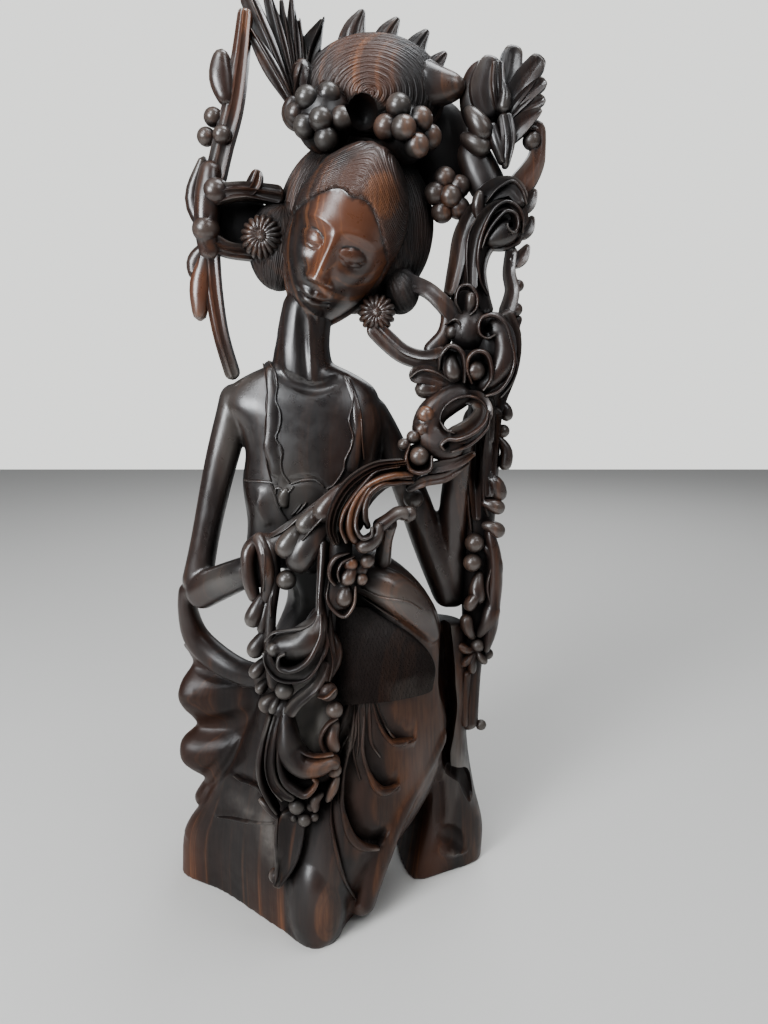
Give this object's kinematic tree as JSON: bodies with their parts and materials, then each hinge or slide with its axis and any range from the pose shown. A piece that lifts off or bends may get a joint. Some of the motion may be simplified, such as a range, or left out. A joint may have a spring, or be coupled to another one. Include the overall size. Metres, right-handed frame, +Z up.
{
  "type": "wooden statue",
  "caption": "Kneeling goddess with a bowed head and high coiled hair, carved from one block of dark wood with an openwork garland of scrolls, leaves and fruit.",
  "frame": {"origin": "on the flat underside, under the middle of the skirt", "axes": "+Z up, -Y towards the viewer that the figure faces, +X towards the figure's left hand side, which is the viewer's right"},
  "size_m": [0.2175, 0.1213, 0.513],
  "materials": {
    "ebony": "dark streaked ebony, oiled to a soft gloss, with dull dust in the carving"
  },
  "bodies": {
    "root": {"carved_figure": "ebony"}
  },
  "joints": []
}
